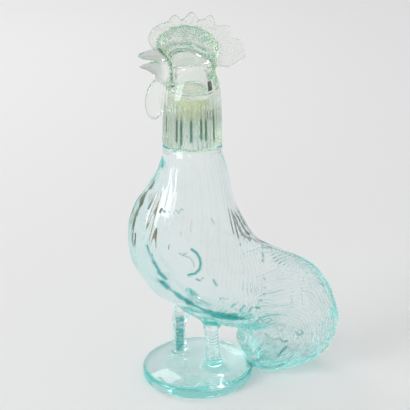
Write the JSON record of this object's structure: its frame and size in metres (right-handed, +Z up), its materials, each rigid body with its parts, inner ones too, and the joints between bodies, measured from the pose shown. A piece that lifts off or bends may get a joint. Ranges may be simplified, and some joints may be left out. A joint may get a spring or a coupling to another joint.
{
  "type": "rooster decanter",
  "caption": "Figural glass decanter shaped as a standing rooster on a round base, with a lift-off glass head over the neck that carries a soft sealing plug.",
  "frame": {"origin": "middle of the base's flat underside, on the surface the decanter stands on", "axes": "+Z up, -X the way the bird faces, -Y its left side"},
  "size_m": [0.1751, 0.091, 0.3082],
  "materials": {
    "aqua_glass": "clear moulded glass with a pale aqua tint",
    "green_glass": "clear pressed glass with a pale green tint",
    "stopper_plastic": "translucent cream plastic"
  },
  "bodies": {
    "bottle": {"bottle": "aqua_glass"},
    "stopper": {"stopper": "stopper_plastic"},
    "head": {"head": "green_glass"}
  },
  "joints": [
    {"name": "stopper_lift", "type": "slide", "parent": "bottle", "child": "stopper", "axis": [0, 0, 1], "range_m": [0, 0.065]},
    {"name": "head_turn", "type": "hinge", "parent": "stopper", "child": "head", "pos_m": [-0.0035, 0, 0.2435], "axis": [0, 0, 1], "continuous": true}
  ]
}
